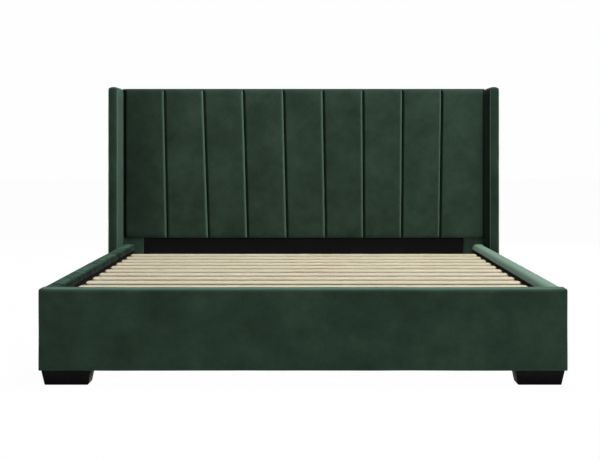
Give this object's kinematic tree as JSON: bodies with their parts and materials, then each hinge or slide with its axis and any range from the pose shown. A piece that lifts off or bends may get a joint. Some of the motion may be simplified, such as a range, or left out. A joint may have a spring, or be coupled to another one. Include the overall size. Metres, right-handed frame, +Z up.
{
  "type": "wingback bed",
  "caption": "Upholstered bed frame with a tall channelled headboard between two wings, padded side rails and footboard, full-width slats and low block feet.",
  "frame": {"origin": "on the floor under the middle of the whole bed", "axes": "+X to the right seen from the foot end, +Y towards the headboard, +Z up"},
  "size_m": [2.036, 2.16, 1.186],
  "materials": {
    "velvet": "forest-green short-pile velvet over foam",
    "lining_cloth": "black non-woven lining cloth",
    "pine": "planed unfinished pine with eased edges",
    "plywood": "raw plywood board",
    "foot_wood": "black satin lacquer",
    "black_steel": "black powder coat",
    "zinc_steel": "bright zinc plated",
    "glide_plastic": "black moulded nylon"
  },
  "bodies": {
    "bed": {"beam_hangers": "black_steel", "centre_beam": "pine", "centre_leg_front": "black_steel", "centre_leg_middle": "black_steel", "centre_leg_rear": "black_steel", "corner_blocks": "pine", "corner_brackets": "black_steel", "foot_bolts": "zinc_steel", "footboard_board": "plywood", "footboard_cover": "velvet", "footboard_lining": "lining_cloth", "front_foot_left": "foot_wood", "front_foot_right": "foot_wood", "glide_inserts": "glide_plastic", "headboard_back_lining": "lining_cloth", "headboard_bottom_rail": "pine", "headboard_centre_strut": "pine", "headboard_channel_pad": "velvet", "headboard_facing_board": "plywood", "headboard_lower_lining": "lining_cloth", "headboard_margin_left": "velvet", "headboard_margin_right": "velvet", "headboard_middle_rail": "pine", "headboard_post_left": "pine", "headboard_post_right": "pine", "headboard_top_border": "velvet", "headboard_top_rail": "pine", "long_bolts": "zinc_steel", "rail_board_left": "plywood", "rail_board_right": "plywood", "rail_cover_left": "velvet", "rail_cover_right": "velvet", "rail_lining_left": "lining_cloth", "rail_lining_right": "lining_cloth", "rear_foot_left": "foot_wood", "rear_foot_right": "foot_wood", "short_bolts": "zinc_steel", "slat_01": "pine", "slat_02": "pine", "slat_03": "pine", "slat_04": "pine", "slat_05": "pine", "slat_06": "pine", "slat_07": "pine", "slat_08": "pine", "slat_09": "pine", "slat_10": "pine", "slat_11": "pine", "slat_ledge_left": "pine", "slat_ledge_right": "pine", "slat_screws": "zinc_steel", "t_nuts": "zinc_steel", "wing_board_left": "plywood", "wing_board_right": "plywood", "wing_bolts": "zinc_steel", "wing_cover_left": "velvet", "wing_cover_right": "velvet"},
    "glide_front": {"levelling_glide_front": "glide_plastic"},
    "glide_middle": {"levelling_glide_middle": "glide_plastic"},
    "glide_rear": {"levelling_glide_rear": "glide_plastic"}
  },
  "joints": [
    {"name": "glide_front_height", "type": "slide", "parent": "bed", "child": "glide_front", "axis": [0, 0, 1], "range_m": [-0.01, 0.015]},
    {"name": "glide_middle_height", "type": "slide", "parent": "bed", "child": "glide_middle", "axis": [0, 0, 1], "range_m": [-0.01, 0.015]},
    {"name": "glide_rear_height", "type": "slide", "parent": "bed", "child": "glide_rear", "axis": [0, 0, 1], "range_m": [-0.01, 0.015]}
  ]
}
